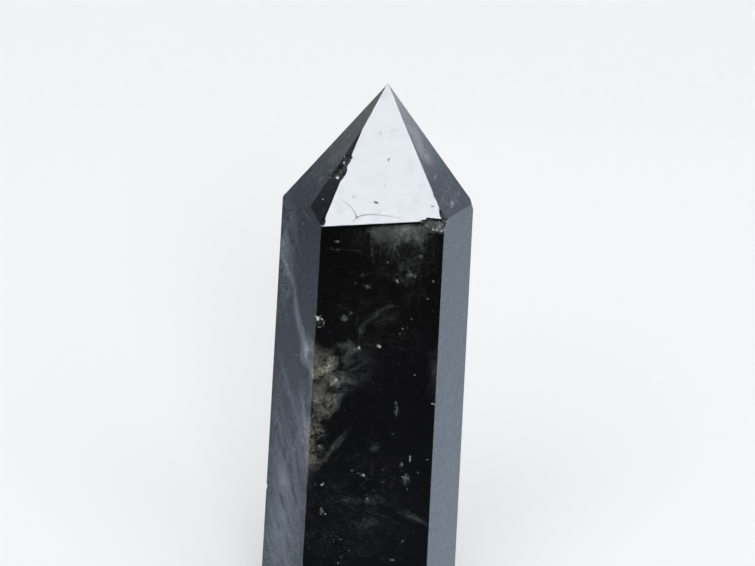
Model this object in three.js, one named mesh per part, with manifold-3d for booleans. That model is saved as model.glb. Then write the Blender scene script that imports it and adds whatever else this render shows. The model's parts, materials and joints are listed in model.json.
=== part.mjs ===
// Morion quartz point: one crystal of near-black smoky quartz, ground and polished into a
// flattened six-sided column with a faceted tip and a flat foot. It stands on the foot.
// Millimetres, +Z up, origin in the middle of the foot, broad front face towards -Y.
import * as THREE from "three";
import { ConvexGeometry } from "three/addons/geometries/ConvexGeometry.js";
import { mergeVertices } from "three/addons/utils/BufferGeometryUtils.js";
import Module from "manifold-3d";

// Driving dimensions
const HEIGHT = 80;
const PLAN_HEIGHT = 62; // the three plan sizes below are measured at this height
const CORNER_WIDTH = 25; // across the left and right corners
const FRONT_WIDTH = 15.9; // across the broad front and back faces
const THICKNESS = 15.74; // from the front face to the back face
const FOOT_SPREAD = 0.0565; // the foot is wider than the plan sizes by this share
const TIP_RIGHT_OF_MIDDLE = 0.44;
const FOOT_CHAMFER = 0.5;

// Height at which each upright edge meets the tip's facets
const SHOULDER_HEIGHT = {
  frontLeft: 63.2,
  frontRight: 64.3,
  right: 63.3,
  backRight: 64.0,
  backLeft: 63.1,
  left: 63.9,
};
// The left tip facet reaches the front left edge this high: a narrow bevel then takes the corner off.
const LEFT_FACET_AT_FRONT_LEFT = 65.4;
const BEVEL_AZIMUTH = -36; // degrees round from the front, positive to the right
const BEVEL_SLOPE = 57.2; // degrees up from level
// The right shoulder is rubbed blunt.
const WEAR_AZIMUTH = 90;
const WEAR_SLOPE = 72;
const WEAR_DEPTH = 0.25;

// Finish of the polished crystal
const MORION_COLOUR = 0x17181b;
const MORION_ROUGHNESS = 0.08;

// Chips: how lumpy a broken surface is, and the size of the small flats that make it up
const CHIP_LUMPS = 0.07;
const CHIP_FLAT = 0.45;
const LEAST_CHIP_DETAIL = 3;

// How near a point counts as on a face, and two points as one
const ON_FACE = 1e-6;
const SAME_POINT = 1e-3;

// Upright edges of the column, in order round it, seen from above
const plan = {
  frontLeft: [-FRONT_WIDTH / 2, -THICKNESS / 2],
  frontRight: [FRONT_WIDTH / 2, -THICKNESS / 2],
  right: [CORNER_WIDTH / 2, 0],
  backRight: [FRONT_WIDTH / 2, THICKNESS / 2],
  backLeft: [-FRONT_WIDTH / 2, THICKNESS / 2],
  left: [-CORNER_WIDTH / 2, 0],
};
const edgeNames = Object.keys(plan);
const tip = new THREE.Vector3(TIP_RIGHT_OF_MIDDLE, 0, HEIGHT);

// A point on an upright edge: the column narrows evenly from the foot.
function onUpright(name, height) {
  const [x, y] = plan[name];
  const spread = 1 + (FOOT_SPREAD * (PLAN_HEIGHT - height)) / PLAN_HEIGHT;
  return new THREE.Vector3(x * spread, y * spread, height);
}

const shoulder = {};
const foot = {};
for (const name of edgeNames) {
  shoulder[name] = onUpright(name, SHOULDER_HEIGHT[name]);
  foot[name] = onUpright(name, 0);
}

// The plane of a ground face, from three of its points taken anticlockwise from outside
function faceThrough(a, b, c) {
  return new THREE.Plane().setFromCoplanarPoints(a, b, c);
}

// The plane of a ground face, from the way it leans and one of its points
function leaningFace(azimuth, slope, point) {
  const round = THREE.MathUtils.degToRad(azimuth);
  const up = THREE.MathUtils.degToRad(slope);
  const outward = new THREE.Vector3(
    Math.sin(round) * Math.sin(up),
    -Math.cos(round) * Math.sin(up),
    Math.cos(up),
  );
  return new THREE.Plane().setFromNormalAndCoplanarPoint(outward, point);
}

// The point that three planes share, or null where they share none
function meetingPoint(p, q, r) {
  const qr = new THREE.Vector3().crossVectors(q.normal, r.normal);
  const rp = new THREE.Vector3().crossVectors(r.normal, p.normal);
  const pq = new THREE.Vector3().crossVectors(p.normal, q.normal);
  const volume = p.normal.dot(qr);
  if (Math.abs(volume) < ON_FACE) {
    return null;
  }
  return new THREE.Vector3()
    .addScaledVector(qr, -p.constant)
    .addScaledVector(rp, -q.constant)
    .addScaledVector(pq, -r.constant)
    .divideScalar(volume);
}

// Column faces, tip facets and foot chamfers, one of each between neighbouring upright edges
const columnFaces = [];
const tipFacets = [];
const footChamfers = [];
edgeNames.forEach((name, i) => {
  const next = edgeNames[(i + 1) % edgeNames.length];
  const column = faceThrough(foot[name], foot[next], shoulder[next]);
  columnFaces.push(column);

  const isLeftFacet = name === "left";
  const end = isLeftFacet ? onUpright(next, LEFT_FACET_AT_FRONT_LEFT) : shoulder[next];
  tipFacets.push(faceThrough(shoulder[name], end, tip));

  const downAndOut = new THREE.Vector3(column.normal.x, column.normal.y, -1).normalize();
  const chamferEdge = onUpright(name, FOOT_CHAMFER);
  footChamfers.push(new THREE.Plane().setFromNormalAndCoplanarPoint(downAndOut, chamferEdge));
});
const frontFacet = tipFacets[edgeNames.indexOf("frontLeft")];
const leftFacet = tipFacets[edgeNames.indexOf("left")];
const leftColumnFace = columnFaces[edgeNames.indexOf("left")];
const footFace = new THREE.Plane(new THREE.Vector3(0, 0, -1), 0);
const bevel = leaningFace(BEVEL_AZIMUTH, BEVEL_SLOPE, shoulder.frontLeft);
const wear = leaningFace(WEAR_AZIMUTH, WEAR_SLOPE, shoulder.right);
wear.constant += WEAR_DEPTH;
const faces = [...columnFaces, ...tipFacets, ...footChamfers, footFace, bevel, wear];

// The crystal's corners are the points where three faces meet inside all the others.
const corners = [];
for (let i = 0; i < faces.length; i += 1) {
  for (let j = i + 1; j < faces.length; j += 1) {
    for (let k = j + 1; k < faces.length; k += 1) {
      const point = meetingPoint(faces[i], faces[j], faces[k]);
      const inside = point && faces.every((face) => face.distanceToPoint(point) < ON_FACE);
      if (inside && !corners.some((corner) => corner.distanceTo(point) < SAME_POINT)) {
        corners.push(point);
      }
    }
  }
}

// Joining and cutting
const wasm = await Module();
wasm.setup();

function solidFrom(geometry) {
  const bare = new THREE.BufferGeometry();
  bare.setAttribute("position", geometry.getAttribute("position"));
  const merged = mergeVertices(bare);
  return new wasm.Manifold(
    new wasm.Mesh({
      numProp: 3,
      vertProperties: new Float32Array(merged.attributes.position.array),
      triVerts: new Uint32Array(merged.index.array),
    }),
  );
}

function geometryFrom(solid) {
  const mesh = solid.getMesh();
  const geometry = new THREE.BufferGeometry();
  geometry.setAttribute("position", new THREE.BufferAttribute(mesh.vertProperties, 3));
  geometry.setIndex(new THREE.BufferAttribute(mesh.triVerts, 1));
  geometry.computeVertexNormals();
  return geometry;
}

// The scoop that a knock breaks out: an egg shape whose long way follows a direction, with waves
// over it that its length shifts, so that no two scoops are alike
function scoop(centre, along, length, depth) {
  const detail = Math.max(LEAST_CHIP_DETAIL, Math.round(length / CHIP_FLAT));
  const geometry = new THREE.IcosahedronGeometry(1, detail);
  const position = geometry.getAttribute("position");
  const point = new THREE.Vector3();
  for (let i = 0; i < position.count; i += 1) {
    point.fromBufferAttribute(position, i);
    const lump = Math.sin(7 * point.x + 2 * point.y) * Math.cos(5 * point.z - 3 * point.x + length);
    point.multiplyScalar(1 + CHIP_LUMPS * lump);
    position.setXYZ(i, point.x, point.y, point.z);
  }
  geometry.scale(length / 2, depth, depth);
  const turn = new THREE.Quaternion().setFromUnitVectors(new THREE.Vector3(1, 0, 0), along);
  geometry.applyQuaternion(turn);
  geometry.translate(centre.x, centre.y, centre.z);
  return solidFrom(geometry);
}

// A chip on the straight edge between two corners, some way along from the first
function chip(from, to, distance, length, depth) {
  const along = new THREE.Vector3().subVectors(to, from).normalize();
  const centre = from.clone().addScaledVector(along, distance);
  return scoop(centre, along, length, depth);
}

const bevelTop = meetingPoint(bevel, frontFacet, leftFacet);
const bevelLeft = meetingPoint(bevel, leftFacet, leftColumnFace);
const downTheBevel = new THREE.Vector3().subVectors(shoulder.frontLeft, bevelTop).normalize();
const lowOnTheBevel = bevelLeft.clone().lerp(shoulder.frontLeft, 0.75).lerp(bevelTop, 0.13);

// Each chip gives its edge, how far along the edge it is, its length and its depth.
const chips = [
  // The broken front right corner, and what it took from the four edges that meet there
  chip(shoulder.frontRight, shoulder.frontLeft, 1.2, 3.0, 0.85),
  chip(shoulder.frontRight, shoulder.frontLeft, 2.6, 1.0, 0.4),
  chip(shoulder.frontRight, tip, 0.6, 2.0, 0.5),
  chip(shoulder.frontRight, foot.frontRight, 0.7, 1.9, 0.6),
  chip(shoulder.frontRight, shoulder.right, 0.5, 1.5, 0.55),
  // Two scallops beside each other where the bevel meets the front facet
  chip(bevelTop, shoulder.frontLeft, 4.5, 1.9, 0.55),
  chip(bevelTop, shoulder.frontLeft, 6.2, 2.1, 0.6),
  // Small nicks round the bevel and the front left corner
  chip(bevelLeft, bevelTop, 4.6, 0.6, 0.25),
  scoop(lowOnTheBevel, downTheBevel, 0.9, 0.22),
  chip(shoulder.frontLeft, bevelTop, 0.6, 1.1, 0.3),
  // A round bruise on the front left edge of the column
  chip(shoulder.frontLeft, foot.frontLeft, 13.6, 1.3, 0.6),
  // Nicks on the right ridge, the front right edge and the left edge
  chip(shoulder.frontRight, tip, 3.4, 0.9, 0.2),
  chip(shoulder.frontRight, foot.frontRight, 26.0, 0.8, 0.2),
  chip(shoulder.left, foot.left, 42.5, 0.9, 0.25),
  // Knocks of the same kind on the far side and at the foot
  chip(shoulder.backRight, shoulder.backLeft, 5.2, 1.6, 0.4),
  chip(shoulder.backLeft, foot.backLeft, 21.0, 1.2, 0.35),
  chip(foot.right, foot.backRight, 3.4, 2.2, 0.9),
];

const crystal = chips.reduce(
  (solid, piece) => solid.subtract(piece),
  solidFrom(new ConvexGeometry(corners)),
);

const point = new THREE.Mesh(
  geometryFrom(crystal),
  new THREE.MeshStandardMaterial({
    color: MORION_COLOUR,
    roughness: MORION_ROUGHNESS,
    metalness: 0,
    flatShading: true,
  }),
);
point.name = "morion_point";

const part = new THREE.Group();
part.add(point);

export default part;
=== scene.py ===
import json
import math
import random

import bmesh
import bpy
from mathutils import Matrix, Vector, noise

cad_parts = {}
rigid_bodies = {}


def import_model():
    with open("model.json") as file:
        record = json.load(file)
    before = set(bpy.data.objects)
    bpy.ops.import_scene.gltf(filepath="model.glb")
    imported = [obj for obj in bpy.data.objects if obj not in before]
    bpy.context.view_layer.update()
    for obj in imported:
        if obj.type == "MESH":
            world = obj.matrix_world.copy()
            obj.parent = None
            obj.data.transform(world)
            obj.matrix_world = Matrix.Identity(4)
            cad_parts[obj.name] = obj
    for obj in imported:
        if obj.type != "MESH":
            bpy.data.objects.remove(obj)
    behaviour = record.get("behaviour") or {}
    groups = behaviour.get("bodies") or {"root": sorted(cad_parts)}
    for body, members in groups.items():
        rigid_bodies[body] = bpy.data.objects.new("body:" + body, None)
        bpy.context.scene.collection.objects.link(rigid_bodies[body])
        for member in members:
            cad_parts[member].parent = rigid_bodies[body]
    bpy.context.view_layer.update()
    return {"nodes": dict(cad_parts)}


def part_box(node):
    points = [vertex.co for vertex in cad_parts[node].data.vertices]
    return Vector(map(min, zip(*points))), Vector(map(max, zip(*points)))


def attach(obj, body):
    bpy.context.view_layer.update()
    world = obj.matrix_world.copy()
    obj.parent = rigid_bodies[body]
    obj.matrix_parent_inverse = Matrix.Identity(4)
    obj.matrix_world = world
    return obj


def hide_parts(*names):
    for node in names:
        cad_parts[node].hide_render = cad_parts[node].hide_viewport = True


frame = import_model()

# The ground crystal. One piece of morion, which is quartz turned almost black in the rock. It was sawn
# and then ground flat face by flat face, so here a block is cut by one plane for each face of the solid.
MM = 0.001
LARGEST_CHIP_FLAT = 0.15 * MM * MM
SAME_FACE_COSINE = math.cos(math.radians(2.5))
SAME_FACE_DEPTH = 0.05 * MM
SAME_CORNER = 0.03 * MM
EDGE_ROUND = 0.025 * MM
CUT_TOLERANCE = 1e-9
BLOCK_HEIGHTS = 3

crystal_low, crystal_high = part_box("morion_point")
crystal_height = crystal_high.z - crystal_low.z


def ground_faces(solid):
    """A point and the outward normal of each flat face of a solid, without the small flats in its chips."""
    found = []
    for face in sorted(solid.data.polygons, key=lambda f: f.area, reverse=True):
        if face.area < LARGEST_CHIP_FLAT:
            break
        known = any(
            normal.dot(face.normal) > SAME_FACE_COSINE
            and abs((place - face.center).dot(normal)) < SAME_FACE_DEPTH
            for place, normal in found
        )
        if not known:
            found.append((face.center.copy(), face.normal.copy()))
    return found


ground = ground_faces(frame["nodes"]["morion_point"])
form = bmesh.new()
bmesh.ops.create_cube(form, size=BLOCK_HEIGHTS * crystal_height)
for place, outward in ground:
    whole = form.verts[:] + form.edges[:] + form.faces[:]
    cut = bmesh.ops.bisect_plane(
        form, geom=whole, dist=CUT_TOLERANCE, plane_co=place, plane_no=outward, clear_outer=True
    )
    rim = [part for part in cut["geom_cut"] if isinstance(part, bmesh.types.BMEdge)]
    if rim:
        bmesh.ops.contextual_create(form, geom=rim)
bmesh.ops.remove_doubles(form, verts=form.verts[:], dist=SAME_CORNER)
bmesh.ops.recalc_face_normals(form, faces=form.faces[:])
corners = [vert.co.copy() for vert in form.verts]


def corner_near(x, y, z):
    """The corner of the ground crystal nearest to a place in millimetres."""
    return min(corners, key=lambda corner: (corner - Vector((x, y, z)) * MM).length)


tip = corner_near(0, 0, 80)
front_left = corner_near(-8, -8, 63)
front_right = corner_near(8, -8, 64)
right = corner_near(12.5, 0, 62.5)
back_right = corner_near(8, 8, 64)
back_left = corner_near(-8, 8, 63)
left = corner_near(-12.5, 0, 64)
bevel_top = corner_near(-3, -3, 75)
bevel_left = corner_near(-9, -5.5, 65)
foot_front_left = corner_near(-8.4, -8.3, 0.5)
foot_front_right = corner_near(8.4, -8.3, 0.5)
foot_right = corner_near(13.2, 0, 0.5)
foot_back_right = corner_near(8.4, 8.3, 0.5)
foot_back_left = corner_near(-8.4, 8.3, 0.5)
foot_left = corner_near(-13.2, 0, 0.5)

# The very tip is rubbed blunt on the front, nearly in line with the front facet.
UP = Vector((0, 0, 1))
TIP_WEAR = 0.13 * MM
TIP_TILT = 0.03
front_facet = next((place, normal) for place, normal in ground if normal.z > 0.3 and normal.y < -0.8)
worn_way = (front_facet[1] + UP * TIP_TILT).normalized()
worn = bmesh.ops.bisect_plane(
    form, geom=form.verts[:] + form.edges[:] + form.faces[:], dist=CUT_TOLERANCE,
    plane_co=tip - worn_way * TIP_WEAR, plane_no=worn_way, clear_outer=True,
)
bmesh.ops.contextual_create(
    form, geom=[part for part in worn["geom_cut"] if isinstance(part, bmesh.types.BMEdge)]
)

# Polishing takes the sharpness off every edge.
bmesh.ops.bevel(
    form, geom=form.edges[:], offset=EDGE_ROUND, offset_type="OFFSET", affect="EDGES",
    segments=2, profile=0.5, material=-1, clamp_overlap=True,
)
bmesh.ops.recalc_face_normals(form, faces=form.faces[:])
crystal = bpy.data.objects.new("polished_crystal", bpy.data.meshes.new("polished_crystal"))
form.to_mesh(crystal.data)
form.free()
bpy.context.scene.collection.objects.link(crystal)

# Chips, pits and hairline cracks. Quartz has no grain to split along, so a knock flakes out a smooth
# hollow like the inside of a shell, with ripples round the struck point. Each is cut out of the form.
RIPPLES = 0.014
RIPPLE_TURNS = 24
# Lumps of a broken surface: their height as a share of the hollow's size, and how closely they stand
LUMPS = ((0.12, 1.6), (0.05, 4.5), (0.025, 10))
knocks = bpy.data.collections.new("knocks")
bpy.context.scene.collection.children.link(knocks)
polished = bpy.data.materials.new("polished_morion")
broken = bpy.data.materials.new("broken_surface")
chance = random.Random(7)


def add_knock(name, mesh):
    """Adds a closed shape to those that are cut out of the crystal."""
    mesh.materials.append(broken)
    knocks.objects.link(bpy.data.objects.new(name, mesh))


def scoop(centre, along, length, depth, fineness=4, hackly=1):
    """Cuts a rippled egg-shaped hollow of a length and depth in millimetres, lying along a direction. A finer
    one has more faces, and a hackly one higher lumps."""
    hollow = bmesh.new()
    bmesh.ops.create_icosphere(hollow, subdivisions=fineness, radius=1)
    shift = Vector((chance.uniform(0, 90), chance.uniform(0, 90), chance.uniform(0, 90)))
    struck = Vector((chance.uniform(-0.6, 0.6), 0.7, 0.7))
    for vert in hollow.verts:
        size = 1 + RIPPLES * math.sin(RIPPLE_TURNS * (vert.co - struck).length)
        for height, closeness in LUMPS:
            size += hackly * height * noise.noise(vert.co * closeness + shift)
        vert.co *= size
    turn = Vector((1, 0, 0)).rotation_difference(along).to_matrix().to_4x4()
    shape = Matrix.Diagonal((length / 2 * MM, depth * MM, depth * MM, 1))
    bmesh.ops.transform(hollow, matrix=Matrix.Translation(centre) @ turn @ shape, verts=hollow.verts)
    mesh = bpy.data.meshes.new("scoop")
    hollow.to_mesh(mesh)
    hollow.free()
    add_knock("scoop", mesh)


def chip(start, end, distance, length, depth, fineness=4):
    """Cuts a scoop on the straight edge between two corners, some millimetres along it."""
    along = (end - start).normalized()
    scoop(start + along * distance * MM, along, length, depth, fineness)


def groove(route, width, taper, closed=False):
    """Cuts a fine groove along a route of points, narrowing towards its end by a share of its width."""
    curve = bpy.data.curves.new("groove", "CURVE")
    curve.dimensions = "3D"
    curve.bevel_depth = width / 2 * MM
    curve.bevel_resolution = 0
    curve.use_fill_caps = not closed
    line = curve.splines.new("POLY")
    line.use_cyclic_u = closed
    line.points.add(len(route) - 1)
    for i, point in enumerate(route):
        line.points[i].co = (*point, 1)
        line.points[i].radius = 1 - taper * i / (len(route) - 1)
    holder = bpy.data.objects.new("groove", curve)
    add_knock("groove", bpy.data.meshes.new_from_object(holder))
    bpy.data.objects.remove(holder)


# The broken front right corner, and what it took from the edges that meet there
BREAK_MIDDLE = 1.3
BREAK_DROP = 0.5
BREAK_LENGTH = 3.1
BREAK_DEPTH = 0.86
HACKLY = 2.2
down_right = (foot_front_right - front_right).normalized()
top_edge = (front_left - front_right).normalized()
break_middle = front_right + (top_edge * BREAK_MIDDLE + down_right * BREAK_DROP) * MM
scoop(break_middle, top_edge, BREAK_LENGTH, BREAK_DEPTH, 5, HACKLY)
scoop(front_right + (top_edge * 0.5 + down_right * 0.8) * MM, top_edge, 1.8, 0.78, 5, HACKLY)
chip(front_right, front_left, 2.75, 0.8, 0.26)
chip(front_right, front_left, 2.1, 0.9, 0.5)
chip(front_right, tip, 0.7, 1.8, 0.32)
chip(front_right, right, 0.3, 1.1, 0.4)
# Two shallow scallops across the narrow bevel, and smaller nicks near them
bevel_out = next(normal for _, normal in ground if normal.x < -0.3 and normal.y < -0.5 and normal.z > 0.3)
down_bevel = (front_left - bevel_top).normalized()
across_bevel = bevel_out.cross(down_bevel).normalized()
if across_bevel.x > 0:
    across_bevel = -across_bevel
# Each has a middle in millimetres, how far out of the bevel and aside it lies, its length and its depth.
for middle, proud, aside, length, depth in (
    ((-4.70, -4.20, 70.90), 0.25, 0.05, 1.7, 0.62),
    ((-5.55, -4.70, 69.50), 0.32, -0.12, 2.6, 0.86),
):
    centre = (Vector(middle) + bevel_out * proud + across_bevel * aside) * MM
    scoop(centre, down_bevel, length, depth, 5)
chip(bevel_top, front_left, 4.0, 0.5, 0.3)
chip(bevel_left, bevel_top, 4.6, 0.6, 0.25)
chip(front_left, bevel_top, 0.6, 1.1, 0.3)
scoop(bevel_left.lerp(front_left, 0.75).lerp(bevel_top, 0.13), down_bevel, 0.9, 0.22)
# A round bruise beside the front left edge: a struck star, and the ring crack that spread round it
STAR_BELOW_SHOULDER = 13.15
RING_BELOW_SHOULDER = 13.48
RING_HALF_WIDTH = 0.52
RING_HALF_HEIGHT = 0.8
RING_CRACK_WIDTH = 0.11
RING_POINTS = 32
chip(front_left, foot_front_left, STAR_BELOW_SHOULDER, 0.9, 0.4)
down_left = (foot_front_left - front_left).normalized()
front_out = next(normal for _, normal in ground if normal.y < -0.99)
inward = down_left.cross(front_out).normalized()
if inward.x < 0:
    inward = -inward
ring_middle = front_left + (down_left * RING_BELOW_SHOULDER + inward * RING_HALF_WIDTH) * MM
ring = [
    ring_middle
    + down_left * RING_HALF_HEIGHT * MM * math.cos(turn)
    + inward * RING_HALF_WIDTH * MM * math.sin(turn)
    for turn in [math.tau * i / RING_POINTS for i in range(RING_POINTS)]
]
groove(ring, RING_CRACK_WIDTH, 0, True)
scoop(ring_middle + front_out * 0.2 * MM, down_left, 1.0, 0.34)
# Nicks on the ridge and the long edges
chip(front_right, tip, 3.4, 0.6, 0.12)
chip(front_right, foot_front_right, 26.0, 0.8, 0.2)
chip(left, foot_left, 42.5, 0.9, 0.25)
# Knocks of the same kind on the far side and at the foot
chip(back_right, back_left, 5.2, 1.6, 0.4)
chip(back_left, foot_back_left, 21.0, 1.2, 0.35)
chip(foot_right, foot_back_right, 3.4, 2.2, 0.9)

# Fine nicks along every long edge, as handling leaves them
NICKS_PER_EDGE = 4
long_edges = [
    (tip, front_right), (tip, right), (tip, back_right), (tip, back_left), (tip, left),
    (bevel_top, front_left), (bevel_top, bevel_left), (front_left, front_right), (front_right, right),
    (right, back_right), (back_right, back_left), (back_left, left), (left, bevel_left),
    (front_left, foot_front_left), (front_right, foot_front_right), (right, foot_right),
    (back_right, foot_back_right), (back_left, foot_back_left), (left, foot_left),
]
for start, end in long_edges:
    run = (end - start).length / MM
    for nick in range(NICKS_PER_EDGE):
        distance = run * chance.uniform(0.06, 0.94)
        chip(start, end, distance, chance.uniform(0.16, 0.45), chance.uniform(0.04, 0.08), 2)


def on_front_facet(x, z):
    """The point of the front tip facet at a distance across and a height, both in millimetres."""
    place, normal = front_facet
    y = place.y - ((x * MM - place.x) * normal.x + (z * MM - place.z) * normal.z) / normal.y
    return Vector((x * MM, y, z * MM))


# Dark pits in the front facet: middle across, middle height, length, depth, and the way it lies
for x, z, length, depth, way in (
    (-0.93, 66.18, 0.75, 0.13, (1, 0, -0.3)),
    (0.62, 71.17, 0.5, 0.1, (0, 0, 1)),
    (-3.82, 66.77, 0.25, 0.07, (1, 0, 0)),
    (0.2, 68.14, 0.2, 0.06, (1, 0, 0)),
    (-0.42, 74.25, 0.2, 0.06, (1, 0, 0)),
    (0.23, 70.31, 0.22, 0.06, (0, 0, 1)),
    (6.33, 65.91, 0.55, 0.08, (1, 0, -0.2)),
):
    scoop(on_front_facet(x, z), Vector(way).normalized(), length, depth, 3)

# Hairline cracks that spread from a star low on the front facet: points across and up, and the width
STAR = (-3.39, 64.40)
CRACK_TAPER = 0.7
for route, width in (
    ((STAR, (-3.77, 65.12), (-4.13, 65.56), (-4.97, 66.15), (-5.87, 66.66)), 0.09),
    (
        (STAR, (-2.89, 64.61), (-1.88, 64.77), (-0.82, 64.74), (0.39, 64.66), (1.59, 64.52), (2.64, 64.40)),
        0.12,
    ),
    ((STAR, (-3.95, 63.79)), 0.14),
    ((STAR, (-3.07, 64.08)), 0.12),
):
    groove([on_front_facet(x, z) for x, z in route], width, CRACK_TAPER)

# Small flakes all over the big break at the front right corner, which leave it hackly
FLAKES = 14
flaking = random.Random(5)
into_corner = -front_facet[1]
into_corner = (into_corner - top_edge * into_corner.dot(top_edge)).normalized()
for flake in range(FLAKES):
    along = flaking.uniform(0.0, 2.7)
    reach = BREAK_DEPTH * math.sqrt(1 - ((along - BREAK_MIDDLE) / (BREAK_LENGTH / 2)) ** 2)
    turn = math.radians(flaking.uniform(0, 140))
    drop = BREAK_DROP + reach * math.cos(turn)
    hit = front_right + (top_edge * along + down_right * drop + into_corner * reach * math.sin(turn)) * MM
    lie = Vector((flaking.uniform(-1, 1), flaking.uniform(-1, 1), flaking.uniform(-1, 1))).normalized()
    scoop(hit, lie, flaking.uniform(0.5, 1.0), flaking.uniform(0.14, 0.28), 3, 2)

cutting = crystal.modifiers.new("knocks", "BOOLEAN")
cutting.operation = "DIFFERENCE"
cutting.operand_type = "COLLECTION"
cutting.collection = knocks
cutting.solver = "EXACT"
cutting.material_mode = "TRANSFER"
crystal.data.materials.append(polished)
chipped = bpy.data.meshes.new_from_object(crystal.evaluated_get(bpy.context.evaluated_depsgraph_get()))
crystal.modifiers.clear()
crystal.data = chipped
for knock in list(knocks.objects):
    bpy.data.objects.remove(knock)
bpy.data.collections.remove(knocks)

# A nick that lies a hair inside its edge is no nick: only the outer surface of the stone is kept.
stone = bmesh.new()
stone.from_mesh(chipped)
outer = {min(stone.verts, key=lambda vert: vert.co.z)}
spreading = list(outer)
while spreading:
    vert = spreading.pop()
    for edge in vert.link_edges:
        neighbour = edge.other_vert(vert)
        if neighbour not in outer:
            outer.add(neighbour)
            spreading.append(neighbour)
bmesh.ops.delete(stone, geom=[vert for vert in stone.verts if vert not in outer], context="VERTS")
stone.to_mesh(chipped)
stone.free()

# Broken places are marked for the finish, and are smooth where the ground faces are flat. The broken corner
# is hackly all over, and the others are clean and glassy.
HACKLY_REACH = 4 * MM
CLEAN_BREAK = 0.35
break_slot = [m.name for m in chipped.materials].index("broken_surface")
break_mark = chipped.attributes.new("broken", "FLOAT", "FACE")
for face in chipped.polygons:
    is_broken = face.material_index == break_slot
    is_hackly = (face.center - front_right).length < HACKLY_REACH
    break_mark.data[face.index].value = (1 if is_hackly else CLEAN_BREAK) if is_broken else 0
    face.use_smooth = is_broken
    face.material_index = 0
chipped.materials.clear()
chipped.materials.append(polished)
bpy.data.materials.remove(broken)


# Polished morion. A glassy surface over a body that swallows light within a millimetre or two, so it
# looks black and mirrors the room. Pale clouds and healed cracks full of tiny bubbles lie just inside.
QUARTZ_IOR = 1.544
POLISH_ROUGHNESS = 0.04
SMUDGE_ROUGHNESS = 0.13
BREAK_ROUGHNESS = 0.12
DEEP_SMOKE = "#33291f"
ABSORPTION_PER_MM = 1.0
SMOKY_TINT = "#8a7358"
# The warm tint is partly the clouds' own and partly painted brown light that comes through the thin front
# left edge.
WARM_CLOUD_AND_EDGE_LIGHT = "#d4d1b9"
COOL_CLOUD = "#c8d5e6"


def linear(colour):
    """A hex colour as linear red, green, blue and alpha."""
    parts = [int(colour[i:i + 2], 16) / 255 for i in (1, 3, 5)]
    return (*[c / 12.92 if c <= 0.04045 else ((c + 0.055) / 1.055) ** 2.4 for c in parts], 1)


def add_node(tree, kind, settings, links=()):
    """Adds a node, sets its sockets and options by name or place, and links its inputs to other outputs."""
    node = tree.nodes.new(kind)
    for name, value in settings.items():
        if isinstance(name, int) or name in node.inputs:
            node.inputs[name].default_value = value
        else:
            setattr(node, name, value)
    for name, source in dict(links).items():
        tree.links.new(source, node.inputs[name])
    return node


polished.use_nodes = True
tree = polished.node_tree
tree.nodes.clear()
in_metres = add_node(tree, "ShaderNodeTexCoord", {}).outputs["Object"]
in_mm = add_node(
    tree, "ShaderNodeVectorMath", {"operation": "SCALE", "Scale": 1 / MM}, {0: in_metres}
).outputs[0]
where = add_node(tree, "ShaderNodeSeparateXYZ", {}, {"Vector": in_mm}).outputs


def drift(size, roughness, reach):
    """A random shift that changes over a size and goes up to half a reach each way, in millimetres."""
    shift = add_node(
        tree, "ShaderNodeTexNoise", {"Scale": 1 / size, "Detail": 2, "Roughness": roughness},
        {"Vector": in_mm},
    ).outputs["Color"]
    shift = add_node(
        tree, "ShaderNodeVectorMath", {"operation": "SUBTRACT", 1: (0.5, 0.5, 0.5)}, {0: shift}
    ).outputs[0]
    return add_node(
        tree, "ShaderNodeVectorMath", {"operation": "SCALE", "Scale": reach}, {0: shift}
    ).outputs[0]


def mottle(spot, size, detail, roughness, span, levels):
    """A random mottle with lumps of a size in millimetres, a span of it spread between two levels."""
    lumps = add_node(
        tree, "ShaderNodeTexNoise", {"Scale": 1 / size, "Detail": detail, "Roughness": roughness},
        {"Vector": spot},
    ).outputs["Fac"]
    return add_node(
        tree, "ShaderNodeMapRange",
        {"From Min": span[0], "From Max": span[1], "To Min": levels[0], "To Max": levels[1]},
        {"Value": lumps},
    ).outputs["Result"]


def nearness(spot, middle, half):
    """How near a spot is to a middle: 1 there, and 0 from the half sizes on, in millimetres."""
    local = add_node(
        tree, "ShaderNodeMapping", {"vector_type": "TEXTURE", "Location": middle, "Scale": half},
        {"Vector": spot},
    ).outputs["Vector"]
    return add_node(
        tree, "ShaderNodeTexGradient", {"gradient_type": "SPHERICAL"}, {"Vector": local}
    ).outputs["Fac"]


# Everything inside follows the crystal's slow swirls, and frays into wisps.
SWIRL_SIZE = 3.2
SWIRL_REACH = 2.0
WISP_SIZE = 0.9
WISP_REACH = 1.0
swirl = drift(SWIRL_SIZE, 0.5, SWIRL_REACH)
wisps = drift(WISP_SIZE, 0.6, WISP_REACH)
flowing = add_node(tree, "ShaderNodeVectorMath", {"operation": "ADD"}, {0: in_mm, 1: swirl}).outputs[0]
swirled = add_node(tree, "ShaderNodeVectorMath", {"operation": "ADD"}, {0: flowing, 1: wisps}).outputs[0]
frayed = add_node(tree, "ShaderNodeVectorMath", {"operation": "ADD"}, {0: in_mm, 1: wisps}).outputs[0]

# The cloud of the sides is drawn out into fibres that slope down towards the front edges.
FIBRE_WAY = Vector((3.2, -5.8, -11.5))
FIBRE_SIZE = (1.6, 1.6, 6.5)
FIBRE_SHARE = 0.75
SIDES_BEGIN = 8.1
SIDES_FULLY = 9.0
along_fibres = add_node(
    tree, "ShaderNodeMapping",
    {
        "vector_type": "TEXTURE",
        "Rotation": FIBRE_WAY.to_track_quat("Z", "Y").to_euler(),
        "Scale": FIBRE_SIZE,
    },
    {"Vector": flowing},
).outputs["Vector"]
fibres = mottle(along_fibres, 1, 3, 0.55, (0.37, 0.69), (0.03, 1))
sideways = add_node(tree, "ShaderNodeMath", {"operation": "ABSOLUTE"}, {0: where["X"]}).outputs[0]
sideways = add_node(
    tree, "ShaderNodeMapRange", {"From Min": SIDES_BEGIN, "From Max": SIDES_FULLY}, {"Value": sideways}
).outputs["Result"]

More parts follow.
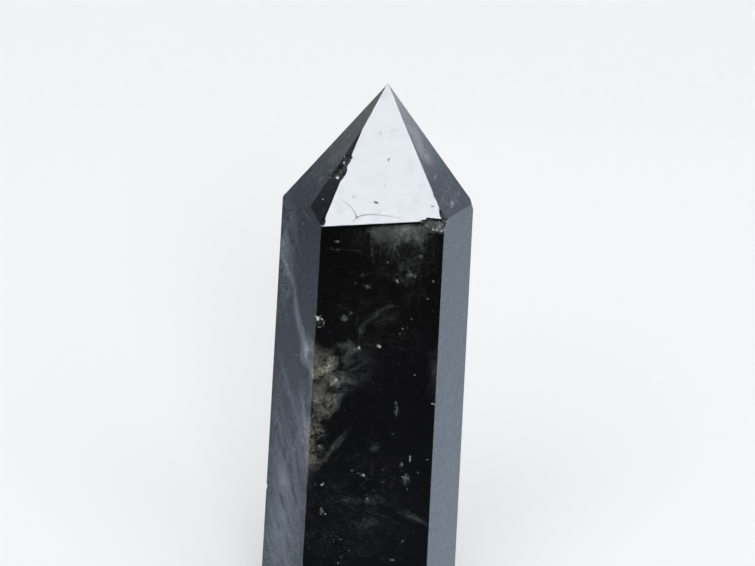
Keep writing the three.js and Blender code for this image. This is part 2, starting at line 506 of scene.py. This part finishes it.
# Cloud: soft patches made of fine dust
PATCH_SIZE = 2.4
GRAIN_SIZE = 0.4
DUST_SIZE = 0.2
patches = mottle(swirled, PATCH_SIZE, 4, 0.6, (0.37, 0.70), (0.05, 1))
grains = mottle(in_mm, GRAIN_SIZE, 3, 0.65, (0.34, 0.74), (0.5, 1.35))
dust = mottle(in_mm, DUST_SIZE, 2, 0.6, (0.40, 0.72), (0.38, 2.0))
dust = add_node(tree, "ShaderNodeMath", {"operation": "MULTIPLY"}, {0: grains, 1: dust}).outputs[0]
fibre_share = add_node(
    tree, "ShaderNodeMath", {"operation": "MULTIPLY", 1: FIBRE_SHARE}, {0: sideways}
).outputs[0]
cloud = add_node(
    tree, "ShaderNodeMix", {"data_type": "FLOAT"}, {0: fibre_share, 2: patches, 3: fibres}
).outputs[0]
cloud = add_node(tree, "ShaderNodeMath", {"operation": "MULTIPLY"}, {0: cloud, 1: dust}).outputs[0]

# Veils: thin sheets, so that they show as fine lines where they meet a face. Each of the two kinds has a
# size in millimetres and a thickness in the noise's own levels.
veil = add_node(tree, "ShaderNodeValue", {}).outputs[0]
veil.default_value = 0
for size, thickness in ((7.0, 0.034), (3.4, 0.040)):
    level = add_node(
        tree, "ShaderNodeTexNoise", {"Scale": 1 / size, "Detail": 2, "Roughness": 0.5}, {"Vector": swirled}
    ).outputs["Fac"]
    level = add_node(tree, "ShaderNodeMath", {"operation": "SUBTRACT", 1: 0.5}, {0: level}).outputs[0]
    level = add_node(tree, "ShaderNodeMath", {"operation": "ABSOLUTE"}, {0: level}).outputs[0]
    level = add_node(
        tree, "ShaderNodeMapRange", {"From Max": thickness, "To Min": 1, "To Max": 0}, {"Value": level}
    ).outputs["Result"]
    veil = add_node(tree, "ShaderNodeMath", {"operation": "MAXIMUM"}, {0: veil, 1: level}).outputs[0]
veil = add_node(tree, "ShaderNodeMath", {"operation": "MULTIPLY"}, {0: veil, 1: dust}).outputs[0]

# Where clouds and veils gather: middle and half sizes in millimetres, then how much of each
GATHERED = (
    # In the front: a smear down the left edge, partly pale cloud and partly painted light through the thin
    # edge, a ring round a clear hole, dust under it
    ((-7.3, -8.0, 42.4), (3.0, 1.5, 3.4), 0.80, 0.03),
    ((-3.2, -8.0, 45.9), (3.6, 1.5, 1.9), 0.30, 0.03),
    ((-5.0, -8.0, 40.9), (4.2, 1.5, 2.7), 0.45, 0.03),
    ((-2.2, -8.0, 43.4), (2.5, 1.5, 3.9), 0.10, 0.02),
    ((-4.0, -8.0, 44.0), (2.4, 1.5, 1.7), 0.02, 0.04),
    ((-7.6, -8.0, 38.6), (2.5, 1.5, 4.2), 0.15, 0.03),
    ((-6.1, -8.0, 38.1), (2.8, 1.5, 3.2), 0.64, 0.03),
    ((-6.3, -8.0, 44.1), (2.0, 1.5, 2.6), 0.40, 0.03),
    ((-7.8, -8.0, 32.2), (2.5, 1.5, 5.2), 0.86, 0.03),
    ((-6.3, -8.0, 30.6), (1.8, 1.5, 2.4), 0.15, 0.02),
    # Higher and lower in the front, very faint
    ((2.0, -7.9, 63.0), (5.5, 2.0, 4.0), 0.03, 0.010),
    ((4.2, -8.0, 57.5), (5.5, 2.4, 6.5), 0.028, 0.012),
    ((-1.0, -8.2, 20.0), (13.0, 3.0, 17.0), 0.032, 0.011),
    ((0.0, -8.0, 50.0), (11.0, 2.4, 12.0), 0.026, 0.009),
    ((7.8, -8.0, 43.0), (1.4, 1.4, 6.0), 0.07, 0.02),
    # In the left side
    ((-8.95, -6.6, 45.0), (2.8, 3.5, 3.4), 0.53, 0.02),
    ((-8.9, -6.7, 33.4), (2.2, 3.0, 10.0), 0.21, 0.03),
    ((-10.8, -4.0, 20.0), (5.0, 8.8, 30.0), 0.28, 0.03),
    ((-12.2, -1.0, 57.0), (3.5, 5.0, 15.0), 0.34, 0.03),
    # In the right side, and in the left and right of the tip
    ((10.4, -4.0, 36.0), (5.0, 7.5, 75.0), 0.035, 0.01),
    ((-7.0, -2.0, 70.0), (6.0, 6.0, 11.0), 0.075, 0.02),
    ((5.1, -2.4, 71.8), (3.0, 2.8, 3.8), 0.65, 0.06),
    ((3.4, -1.9, 74.4), (2.1, 2.1, 3.0), 0.42, 0.05),
    ((9.0, -3.5, 66.0), (4.2, 4.2, 3.5), 0.09, 0.03),
    # In the back
    ((0.0, 8.0, 40.0), (8.5, 3.0, 25.0), 0.22, 0.05),
    ((10.5, 4.5, 22.0), (3.8, 7.5, 20.0), 0.20, 0.05),
)
CLOUD_SOFTNESS = 2.0
FAINTEST_VEIL = 0.006
cloud_share = add_node(tree, "ShaderNodeValue", {}).outputs[0]
cloud_share.default_value = 0
veil_share = add_node(tree, "ShaderNodeValue", {}).outputs[0]
veil_share.default_value = FAINTEST_VEIL
for middle, half, cloud_here, veil_here in GATHERED:
    near = nearness(swirled, middle, half)
    near = add_node(tree, "ShaderNodeMath", {"operation": "POWER", 1: CLOUD_SOFTNESS}, {0: near}).outputs[0]
    cloud_share = add_node(
        tree, "ShaderNodeMath", {"operation": "MULTIPLY_ADD", 1: cloud_here}, {0: near, 2: cloud_share}
    ).outputs[0]
    veil_share = add_node(
        tree, "ShaderNodeMath", {"operation": "MULTIPLY_ADD", 1: veil_here}, {0: near, 2: veil_share}
    ).outputs[0]
haze = add_node(tree, "ShaderNodeMath", {"operation": "MULTIPLY"}, {0: cloud_share, 1: cloud}).outputs[0]
haze = add_node(
    tree, "ShaderNodeMath", {"operation": "MULTIPLY_ADD"}, {0: veil_share, 1: veil, 2: haze}
).outputs[0]

# Healed cracks that run straight: two ends on a face and the way it faces, in millimetres, then thickness
# and brightness. Each fades away past its ends.
FRONT = (0, -1, 0)
LEFT = (-0.866, -0.5, 0)
RIGHT_TIP = (0.754, -0.368, 0.544)
HEALED = (
    # In the left side
    ((-12.1, -0.85, 55.5), (-10.75, -3.2, 52.7), LEFT, 0.65, 0.14),
    ((-10.8, -3.1, 52.9), (-10.0, -4.6, 47.4), LEFT, 0.75, 0.155),
    ((-10.4, -3.9, 49.4), (-9.2, -6.1, 45.4), LEFT, 1.05, 0.19),
    ((-9.1, -6.2, 45.0), (-8.3, -7.6, 42.0), LEFT, 0.60, 0.08),
    ((-12.3, -0.8, 42.0), (-10.9, -3.2, 38.0), LEFT, 0.60, 0.05),
    ((-11.4, -2.3, 38.7), (-9.9, -5.1, 35.1), LEFT, 0.50, 0.08),
    ((-12.2, -1.1, 33.4), (-11.2, -2.9, 29.0), LEFT, 0.60, 0.07),
    ((-12.0, -1.8, 27.0), (-10.0, -5.4, 20.0), LEFT, 0.70, 0.045),
    ((-9.3, -6.0, 38.8), (-8.3, -7.9, 30.0), LEFT, 0.50, 0.10),
    ((-10.2, -3.9, 64.0), (-9.0, -6.0, 63.0), LEFT, 0.30, 0.07),
    # In the front, from the top down
    ((2.75, -7.9, 63.4), (1.6, -7.9, 59.7), FRONT, 0.40, 0.05),
    ((3.8, -7.9, 63.2), (5.5, -7.9, 59.8), FRONT, 0.40, 0.04),
    ((-1.4, -7.9, 62.8), (-1.1, -7.9, 59.2), FRONT, 0.30, 0.035),
    ((-7.4, -7.9, 60.05), (-3.8, -7.9, 60.0), FRONT, 0.22, 0.03),
    ((-3.9, -7.9, 60.0), (-1.2, -7.9, 58.9), FRONT, 0.22, 0.03),
    ((-2.5, -8.0, 47.4), (-1.5, -8.0, 49.75), FRONT, 0.55, 0.036),
    ((-1.6, -8.0, 49.6), (0.7, -8.0, 51.8), FRONT, 0.55, 0.036),
    ((0.5, -8.0, 51.7), (2.0, -8.0, 52.1), FRONT, 0.35, 0.035),
    ((-3.2, -8.1, 34.0), (-6.6, -8.1, 29.0), FRONT, 0.70, 0.055),
    ((-4.0, -8.1, 23.6), (1.8, -8.1, 23.6), FRONT, 0.60, 0.025),
    ((1.0, -8.1, 21.8), (3.0, -8.1, 20.9), FRONT, 0.35, 0.03),
    ((4.4, -8.1, 22.1), (8.3, -8.1, 20.0), FRONT, 0.50, 0.06),
    # In the right of the tip
    ((4.1, -1.8, 73.6), (6.2, -2.4, 70.4), RIGHT_TIP, 0.60, 0.14),
)
CRACK_REACH = 0.75
for start, end, facing, thickness, brightness in HEALED:
    run = Vector(end) - Vector(start)
    middle = (Vector(start) + Vector(end)) / 2
    across = run.cross(Vector(facing)).normalized()
    half = run.length * CRACK_REACH
    offset = add_node(
        tree, "ShaderNodeVectorMath", {"operation": "DOT_PRODUCT", 1: across}, {0: frayed}
    ).outputs["Value"]
    offset = add_node(
        tree, "ShaderNodeMath", {"operation": "SUBTRACT", 1: middle.dot(across)}, {0: offset}
    ).outputs[0]
    offset = add_node(tree, "ShaderNodeMath", {"operation": "ABSOLUTE"}, {0: offset}).outputs[0]
    line = add_node(
        tree, "ShaderNodeMapRange", {"From Max": thickness, "To Min": brightness, "To Max": 0},
        {"Value": offset},
    ).outputs["Result"]
    near = nearness(in_mm, middle, (half, half, half))
    line = add_node(tree, "ShaderNodeMath", {"operation": "MULTIPLY"}, {0: line, 1: near}).outputs[0]
    line = add_node(tree, "ShaderNodeMath", {"operation": "MULTIPLY"}, {0: line, 1: dust}).outputs[0]
    haze = add_node(tree, "ShaderNodeMath", {"operation": "ADD"}, {0: haze, 1: line}).outputs[0]

# Single bubbles: rather more than half of all cells hold a speck, faint or bright.
SPECK_SPACING = 1.1
SPECK_RADIUS = 0.085
SPECK_EDGE = SPECK_RADIUS / SPECK_SPACING
specks = add_node(tree, "ShaderNodeTexVoronoi", {"Scale": 1 / SPECK_SPACING}, {"Vector": in_mm})
speck_share = add_node(
    tree, "ShaderNodeSeparateColor", {}, {"Color": specks.outputs["Color"]}
).outputs["Red"]
speck_share = add_node(
    tree, "ShaderNodeMapRange", {"From Min": 0.4, "From Max": 0.9, "To Max": 0.9}, {"Value": speck_share}
).outputs["Result"]
dots = add_node(
    tree, "ShaderNodeMapRange",
    {"From Min": SPECK_EDGE / 2, "From Max": SPECK_EDGE, "To Min": 1, "To Max": 0},
    {"Value": specks.outputs["Distance"]},
).outputs["Result"]
haze = add_node(
    tree, "ShaderNodeMath", {"operation": "MULTIPLY_ADD"}, {0: dots, 1: speck_share, 2: haze}
).outputs[0]

# Larger bubbles and flakes just under the front face and the right tip facet, with ragged outlines, and a
# painted glint at the bruise's star: across, depth, height and half sizes in millimetres, and brightness
RAG_SIZE = 0.3
RAG_REACH = 1.1
BUBBLE_AND_GLINT_HALF_DEPTH = 1.5
BUBBLES_AND_STAR_GLINT = (
    (-2.27, -8, 46, 0.2, 0.14, 1.49), (0.33, -8, 46.2, 0.17, 0.25, 1.38),
    (0.1, -8, 46.45, 0.31, 0.09, 0.8), (-5.07, -8, 41.33, 0.19, 0.14, 0.92),
    (-4.85, -8, 44.05, 0.23, 0.09, 0.46), (-2.38, -8, 56.45, 0.23, 0.16, 0.34),
    (-3.15, -8, 55.35, 0.16, 0.12, 0.46), (-1.55, -8, 54.75, 0.5, 0.3, 0.12),
    (2.21, -8, 55.66, 0.19, 0.17, 0.69), (3.9, -8, 56.5, 0.95, 0.4, 0.1),
    (7, -8, 55.6, 0.12, 0.12, 0.69), (5.2, -8, 59.2, 0.5, 0.25, 0.2),
    (-1.05, -8, 58.7, 0.12, 0.12, 0.34), (0.75, -8, 58.4, 0.12, 0.12, 0.34),
    (-4.45, -8, 50.2, 0.6, 0.6, 0.14), (-3.55, -8, 51, 0.17, 0.27, 0.29),
    (-5.8, -8, 61.1, 0.45, 0.2, 0.2), (3.95, -8, 49, 0.14, 0.11, 0.29),
    (4.21, -8, 29.12, 0.19, 0.27, 0.69), (5.23, -8, 29.87, 0.12, 0.6, 0.7),
    (4.86, -8, 26.9, 0.55, 1, 0.13), (4.4, -8, 27.2, 0.16, 0.12, 0.57),
    (6.4, -8, 27.9, 0.12, 0.11, 0.57), (-0.87, -8, 27.45, 0.17, 0.17, 1.15),
    (-1.45, -8, 27.6, 0.12, 0.11, 0.69), (-7.16, -8, 26.06, 0.11, 0.2, 0.69),
    (-6.1, -8, 26.1, 0.27, 0.09, 0.92), (-6.15, -8, 22, 0.3, 0.75, 0.18),
    (7.75, -8, 38.05, 0.11, 0.16, 1.15), (3.05, -8, 36.9, 0.26, 0.95, 0.16),
    (2.95, -8, 38, 0.11, 0.16, 0.46), (0.5, -8, 31.5, 0.9, 0.7, 0.05),
    (2.7, -8, 33.6, 0.14, 0.12, 0.29), (-4.3, -8, 17.6, 0.14, 0.12, 0.57),
    (-3.3, -8, 17.8, 0.23, 0.12, 0.34), (4.9, -8, 17.6, 0.16, 0.16, 0.57),
    (3.6, -8, 14.8, 0.4, 0.22, 0.3), (-3.3, -8, 15.2, 0.16, 0.14, 0.34),
    # A painted glint: the bruise's struck star, drawn as two crossing pale bars.
    (-7.88, -8, 50.15, 0.2, 0.46, 2.4), (-7.6, -8, 50.1, 0.42, 0.18, 2.4),
    (-7.5, -8, 43.4, 1, 1.2, 0.17), (6.4, -7.5, 63.3, 1.5, 0.9, 0.18),
    (7.6, -7.5, 63.2, 0.8, 1, 0.28), (6.9, -4.2, 68.6, 0.23, 0.2, 0.57),
    (9.3, -2.6, 66.9, 0.31, 0.2, 0.46), (9.17, -4.2, 65.04, 0.5, 0.35, 0.5),
    (7.7, -4.5, 66.2, 0.16, 0.16, 0.57), (8.3, -5.2, 64.7, 0.45, 0.25, 0.3),
    (10.3, -1.8, 65.3, 0.23, 0.2, 0.46),
)
rags = drift(RAG_SIZE, 0.6, RAG_REACH)
ragged = add_node(tree, "ShaderNodeVectorMath", {"operation": "ADD"}, {0: in_mm, 1: rags}).outputs[0]
for across, depth, height, half_width, half_height, brightness in BUBBLES_AND_STAR_GLINT:
    near = nearness(ragged, (across, depth, height), (half_width, BUBBLE_AND_GLINT_HALF_DEPTH, half_height))
    near = add_node(tree, "ShaderNodeMath", {"operation": "MULTIPLY"}, {0: near, 1: dust}).outputs[0]
    haze = add_node(
        tree, "ShaderNodeMath", {"operation": "MULTIPLY_ADD", 1: brightness}, {0: near, 2: haze}
    ).outputs[0]

# The bruise's ring crack goes a little way in. Its glint is a painted highlight: a pale ring in the haze,
# with gaps.
RING_GLINT_WIDTH = 0.10
RING_GAP_SIZE = 0.45
local = add_node(
    tree, "ShaderNodeMapping",
    {
        "vector_type": "TEXTURE",
        "Location": ring_middle / MM,
        "Scale": (RING_HALF_WIDTH, RING_HALF_WIDTH, RING_HALF_HEIGHT),
    },
    {"Vector": in_mm},
).outputs["Vector"]
ring_offset = add_node(tree, "ShaderNodeVectorMath", {"operation": "LENGTH"}, {0: local}).outputs["Value"]
ring_offset = add_node(
    tree, "ShaderNodeMath", {"operation": "SUBTRACT", 1: 1.0}, {0: ring_offset}
).outputs[0]
ring_offset = add_node(tree, "ShaderNodeMath", {"operation": "ABSOLUTE"}, {0: ring_offset}).outputs[0]
painted_ring_glint = add_node(
    tree, "ShaderNodeMapRange", {"From Max": RING_GLINT_WIDTH, "To Min": 1, "To Max": 0},
    {"Value": ring_offset},
).outputs["Result"]
ring_gaps = mottle(in_mm, RING_GAP_SIZE, 2, 0.6, (0.44, 0.62), (0.03, 0.55))
haze = add_node(
    tree, "ShaderNodeMath", {"operation": "MULTIPLY_ADD"}, {0: painted_ring_glint, 1: ring_gaps, 2: haze}
).outputs[0]

# A pale curtain hangs in soft lobes under the front face's top edge, where light comes in through the tip:
# across, height and half sizes in millimetres, and how much
LOBES = (
    (0.9, 63.5, 3.2, 3.5, 0.135),
    (2.8, 63.5, 1.7, 2.9, 0.13),
    (4.6, 63.2, 1.6, 2.9, 0.10),
    (6.3, 61.8, 1.6, 2.4, 0.022),
    (-1.2, 63.4, 1.6, 2.2, 0.03),
    (-3.2, 62.2, 2.4, 3.0, 0.020),
    (1.2, 60.2, 1.6, 2.4, 0.014),
    (2.5, 59.8, 6.0, 4.5, 0.012),
)
CURTAIN_DEPTH = -7.9
CURTAIN_HALF_DEPTH = 2.0
FOLD_SIZE = (1.2, 1.2, 7.0)
hanging = add_node(
    tree, "ShaderNodeMapping", {"vector_type": "TEXTURE", "Scale": FOLD_SIZE}, {"Vector": flowing}
).outputs["Vector"]
folds = mottle(hanging, 1, 3, 0.55, (0.34, 0.68), (0.65, 1.4))
folds = add_node(tree, "ShaderNodeMath", {"operation": "MULTIPLY"}, {0: folds, 1: grains}).outputs[0]
for across, height, half_width, half_height, brightness in LOBES:
    near = nearness(frayed, (across, CURTAIN_DEPTH, height), (half_width, CURTAIN_HALF_DEPTH, half_height))
    near = add_node(tree, "ShaderNodeMath", {"operation": "MULTIPLY", 1: brightness}, {0: near}).outputs[0]
    haze = add_node(
        tree, "ShaderNodeMath", {"operation": "MULTIPLY_ADD"}, {0: near, 1: folds, 2: haze}
    ).outputs[0]

# Broken places scatter a little light, being rough.
HACKLE_SIZE = 0.24
break_here = add_node(tree, "ShaderNodeAttribute", {"attribute_name": "broken"}).outputs["Fac"]
hackles = mottle(in_mm, HACKLE_SIZE, 3, 0.6, (0.50, 0.72), (0, 0.15))
haze = add_node(
    tree, "ShaderNodeMath", {"operation": "MULTIPLY_ADD"}, {0: break_here, 1: hackles, 2: haze}
).outputs[0]

# The front facet is ground through clear stone, so the haze begins a little way under it.
HAZE_BEGINS = 0.05
HAZE_FULLY = 0.35
below_facet = add_node(
    tree, "ShaderNodeVectorMath", {"operation": "DOT_PRODUCT", 1: -front_facet[1]}, {0: in_mm}
).outputs["Value"]
facet_level = -front_facet[1].dot(front_facet[0]) / MM
hazy_stone = add_node(
    tree, "ShaderNodeMapRange",
    {"From Min": facet_level + HAZE_BEGINS, "From Max": facet_level + HAZE_FULLY},
    {"Value": below_facet},
).outputs["Result"]
haze = add_node(
    tree, "ShaderNodeMath", {"operation": "MULTIPLY", "use_clamp": True}, {0: haze, 1: hazy_stone}
).outputs[0]
clear = add_node(tree, "ShaderNodeMath", {"operation": "SUBTRACT", 0: 1.0}, {1: haze}).outputs[0]

# The smear down the front's left edge is warm: the cloud's own colour with painted brown light that comes
# through the thin edge. The rest of the front is nearly grey and the sides are cool.
SMEAR_AND_EDGE_LIGHT_HEIGHT = 38.0
SMEAR_AND_EDGE_LIGHT_HALF_HEIGHT = 9.0
SMEAR_AND_EDGE_LIGHT_END = 10.5
coolness = add_node(
    tree, "ShaderNodeMapRange", {"From Min": -7.0, "From Max": -4.0, "To Min": 0.05, "To Max": 0.45},
    {"Value": where["X"]},
).outputs["Result"]
coolness = add_node(tree, "ShaderNodeMath", {"operation": "MAXIMUM"}, {0: coolness, 1: sideways}).outputs[0]
from_smear_and_edge_light = add_node(
    tree, "ShaderNodeMath", {"operation": "SUBTRACT", 1: SMEAR_AND_EDGE_LIGHT_HEIGHT}, {0: where["Z"]}
).outputs[0]
from_smear_and_edge_light = add_node(tree, "ShaderNodeMath", {"operation": "ABSOLUTE"}, {0: from_smear_and_edge_light}).outputs[0]
from_smear_and_edge_light = add_node(
    tree, "ShaderNodeMapRange", {"From Min": SMEAR_AND_EDGE_LIGHT_HALF_HEIGHT, "From Max": SMEAR_AND_EDGE_LIGHT_END, "To Max": 0.42},
    {"Value": from_smear_and_edge_light},
).outputs["Result"]
coolness = add_node(
    tree, "ShaderNodeMath", {"operation": "MAXIMUM"}, {0: coolness, 1: from_smear_and_edge_light}
).outputs[0]
cloud_colour = add_node(
    tree, "ShaderNodeMix", {"data_type": "RGBA", 6: linear(WARM_CLOUD_AND_EDGE_LIGHT), 7: linear(COOL_CLOUD)},
    {0: coolness},
).outputs[2]

# Even a thin haze hides the dark body behind it.
HIDING_HAZE = 0.035
paleness = add_node(
    tree, "ShaderNodeMapRange", {"From Max": HIDING_HAZE}, {"Value": haze}
).outputs["Result"]
colour = add_node(
    tree, "ShaderNodeMix", {"data_type": "RGBA", 6: linear(DEEP_SMOKE)}, {0: paleness, 7: cloud_colour}
).outputs[2]

# Handling leaves faint smudges on the polish.
SMUDGE_SIZE = 2.5
polish = mottle(in_mm, SMUDGE_SIZE, 5, 0.62, (0.42, 0.72), (POLISH_ROUGHNESS, SMUDGE_ROUGHNESS))
gloss = add_node(
    tree, "ShaderNodeMix", {"data_type": "FLOAT", 3: BREAK_ROUGHNESS}, {0: break_here, 2: polish}
).outputs[0]
surface = add_node(
    tree, "ShaderNodeBsdfPrincipled", {"IOR": QUARTZ_IOR},
    {"Base Color": colour, "Transmission Weight": clear, "Roughness": gloss},
).outputs["BSDF"]
body = add_node(
    tree, "ShaderNodeVolumeAbsorption", {"Color": linear(SMOKY_TINT), "Density": ABSORPTION_PER_MM / MM}
).outputs["Volume"]
add_node(tree, "ShaderNodeOutputMaterial", {}, {"Surface": surface, "Volume": body})
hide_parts("morion_point")
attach(crystal, "root")


# The sheet that the crystal stands on: plain matt white paper, much wider than the view. It lies flat, and
# its paleness also fills the background.
SHEET_RADIUS = 3.0
SHEET_WHITE = "#f5f4f2"
PAPER_ROUGHNESS = 0.9
PAPER_SHINE = 0.1
sheet_form = bmesh.new()
bmesh.ops.create_circle(sheet_form, cap_ends=True, segments=96, radius=SHEET_RADIUS)
sheet = bpy.data.objects.new("paper_sheet", bpy.data.meshes.new("paper_sheet"))
sheet_form.to_mesh(sheet.data)
sheet_form.free()
bpy.context.scene.collection.objects.link(sheet)
paper = bpy.data.materials.new("matt_paper")
paper.use_nodes = True
paper_inputs = paper.node_tree.nodes["Principled BSDF"].inputs
paper_inputs["Base Color"].default_value = linear(SHEET_WHITE)
paper_inputs["Roughness"].default_value = PAPER_ROUGHNESS
paper_inputs["Specular IOR Level"].default_value = PAPER_SHINE
sheet.data.materials.append(paper)


# The studio: a pale room all round, a bright soft panel behind the camera that the front facet mirrors,
# and cards that only reflections see, which shape what the polished faces mirror.
ROOM_WHITE = "#f8faff"
ROOM_LEVEL = 0.67
world = bpy.data.worlds.new("pale_room")
world.use_nodes = True
bpy.context.scene.world = world
world.node_tree.nodes["Background"].inputs["Color"].default_value = linear(ROOM_WHITE)
world.node_tree.nodes["Background"].inputs["Strength"].default_value = ROOM_LEVEL


def towards(azimuth, elevation):
    """The direction at an angle round from the front, positive to the right, and an angle up."""
    a, e = math.radians(azimuth), math.radians(elevation)
    return Vector((math.sin(a) * math.cos(e), -math.cos(a) * math.cos(e), math.sin(e)))


LIGHT_DISTANCE = 2.0
lit_place = on_front_facet(0, 69)


def soft_light(name, way, radius, level, colour, mirrored):
    """A round soft light two metres from the tip, of an even brightness, mirrored by the crystal or not."""
    light = bpy.data.lights.new(name, "AREA")
    light.shape = "DISK"
    light.size = 2 * radius
    light.energy = level * math.pi * math.pi * radius ** 2
    light.color = linear(colour)[:3]
    lamp = bpy.data.objects.new(name, light)
    turn = way.to_track_quat("Z", "Y").to_matrix().to_4x4()
    lamp.matrix_world = Matrix.Translation(lit_place + way * LIGHT_DISTANCE) @ turn
    lamp.visible_camera = False
    lamp.visible_glossy = mirrored
    bpy.context.scene.collection.objects.link(lamp)


soft_light("front_panel", towards(2.1, 27.9), 0.22, 18.5, "#f3f8ff", True)
soft_light("left_fill", towards(-26, 42), 0.6, 2.7, "#ffffff", False)
soft_light("right_fill", towards(24, 42), 0.6, 1.5, "#ffffff", False)
soft_light("back_fill", towards(180, 50), 0.6, 1.1, "#ffffff", False)


CARD_FADE = 15


def card(name, middle, facing, size, dim, bright):
    """A square card that only reflections see, which fades out at its rim. Its glow grades from one place,
    colour and level to another."""
    form = bmesh.new()
    form.loops.layers.uv.new("across_card")
    bmesh.ops.create_grid(form, x_segments=1, y_segments=1, size=size / 2 * MM, calc_uvs=True)
    turn = facing.to_track_quat("Z", "Y").to_matrix().to_4x4()
    bmesh.ops.transform(form, matrix=Matrix.Translation(Vector(middle) * MM) @ turn, verts=form.verts)
    made = bpy.data.objects.new(name, bpy.data.meshes.new(name))
    form.to_mesh(made.data)
    form.free()
    glow = bpy.data.materials.new(name)
    glow.use_nodes = True
    tree = glow.node_tree
    tree.nodes.clear()
    (dim_place, dim_colour, dim_level), (bright_place, bright_colour, bright_level) = dim, bright
    way = (Vector(bright_place) - Vector(dim_place)) * MM
    places = add_node(tree, "ShaderNodeTexCoord", {}).outputs
    along = add_node(
        tree, "ShaderNodeVectorMath", {"operation": "SUBTRACT", 1: Vector(dim_place) * MM},
        {0: places["Object"]},
    ).outputs[0]
    along = add_node(
        tree, "ShaderNodeVectorMath", {"operation": "DOT_PRODUCT", 1: way / way.length_squared}, {0: along}
    ).outputs["Value"]
    level = add_node(
        tree, "ShaderNodeMapRange", {"To Min": dim_level, "To Max": bright_level}, {"Value": along}
    ).outputs["Result"]
    share = add_node(tree, "ShaderNodeClamp", {}, {"Value": along}).outputs[0]
    colour = add_node(
        tree, "ShaderNodeMix", {"data_type": "RGBA", 6: linear(dim_colour), 7: linear(bright_colour)},
        {0: share},
    ).outputs[2]
    light = add_node(tree, "ShaderNodeEmission", {}, {"Color": colour, "Strength": level}).outputs[0]
    across = add_node(
        tree, "ShaderNodeVectorMath", {"operation": "SUBTRACT", 1: (0.5, 0.5, 0)}, {0: places["UV"]}
    ).outputs[0]
    across = add_node(tree, "ShaderNodeVectorMath", {"operation": "ABSOLUTE"}, {0: across}).outputs[0]
    across = add_node(tree, "ShaderNodeSeparateXYZ", {}, {"Vector": across}).outputs
    rim = add_node(
        tree, "ShaderNodeMath", {"operation": "MAXIMUM"}, {0: across["X"], 1: across["Y"]}
    ).outputs[0]
    rim = add_node(
        tree, "ShaderNodeMapRange", {"From Min": 0.5 - CARD_FADE / size, "From Max": 0.5}, {"Value": rim}
    ).outputs["Result"]
    nothing = add_node(tree, "ShaderNodeBsdfTransparent", {}).outputs[0]
    light = add_node(tree, "ShaderNodeMixShader", {}, {0: rim, 1: light, 2: nothing}).outputs[0]
    add_node(tree, "ShaderNodeOutputMaterial", {}, {"Surface": light})
    made.data.materials.append(glow)
    made.visible_camera = False
    made.visible_diffuse = False
    made.visible_transmission = False
    made.visible_volume_scatter = False
    made.visible_shadow = False
    bpy.context.scene.collection.objects.link(made)


# On the floor, in front of the front face, and left and right of the side faces
card(
    "front_flag", (0, -262, 0.2), UP, 516,
    ((5, -147, 0), "#fbfbff", 0.075), ((5, -42, 0), "#dbe2ff", 0.165),
)
card(
    "left_floor_card", (-109, 77, 0.3), UP, 212,
    ((-138, 54, 0), "#d6e6ff", 0.68), ((-35, 7, 0), "#daebff", 1.25),
)
card(
    "right_floor_card", (109, 77, 0.3), UP, 212,
    ((125, 80, 0), "#dcedff", 1.33), ((31, 11, 0), "#daebff", 1.46),
)
# Round the tip, where the bevel and the left and right facets look
card(
    "bevel_flag", (-243, -90, 233), Vector((242, 90, -165)), 140,
    ((-245, -91.5, 228), "#dae9ff", 0.42), ((-239, -87.5, 239), "#d4e0ff", 0.95),
)
card(
    "left_card", (-241, 162, 160), Vector((240, -160, -92)), 120,
    ((-245.5, 159.5, 152), "#d3e4ff", 0.92), ((-235.5, 164.2, 169), "#f8ffff", 1.6),
)
card(
    "right_card", (251, 165, 107), Vector((250, -165, -38)), 120,
    ((253, 164.5, 104), "#d9e8ff", 1.20), ((246, 168, 116.5), "#f0f5ff", 3.7),
)
# High up, so that only the curved breaks catch it
card(
    "high_card", (146, -84, 442), Vector((-146, 84, -362)), 165,
    ((0, 0, 0), "#eef4ff", 65), ((1, 0, 0), "#eef4ff", 65),
)


# The camera. It has a long lens and stands 60 cm off, a little left of the front and 25 degrees up, and is
# tilted a few degrees, so that the tip and the edges fall where the photograph has them.
VIEW_AZIMUTH = -5.7
VIEW_ELEVATION = 25.0
VIEW_ROLL = 3.1076
VIEW_DISTANCE = 0.600
VIEW_HEIGHT = 51.65 * MM
VIEW_SHIFT_RIGHT = 0.478 * MM
LENS = 217.97
SENSOR_WIDTH = 36.0
view_back = towards(VIEW_AZIMUTH, VIEW_ELEVATION)
view_right = UP.cross(view_back).normalized()
view_up = view_back.cross(view_right)
target = view_right * VIEW_SHIFT_RIGHT + UP * VIEW_HEIGHT
level_turn = Matrix((view_right, view_up, view_back)).transposed().to_4x4()
lens_data = bpy.data.cameras.new("camera")
lens_data.lens = LENS
lens_data.sensor_width = SENSOR_WIDTH
lens_data.sensor_fit = "HORIZONTAL"
lens_data.clip_start = 0.01
camera = bpy.data.objects.new("camera", lens_data)
camera.matrix_world = (
    Matrix.Translation(target + view_back * VIEW_DISTANCE)
    @ level_turn
    @ Matrix.Rotation(math.radians(VIEW_ROLL), 4, "Z")
)
bpy.context.scene.collection.objects.link(camera)
bpy.context.scene.camera = camera
bpy.context.scene.view_settings.view_transform = "Standard"
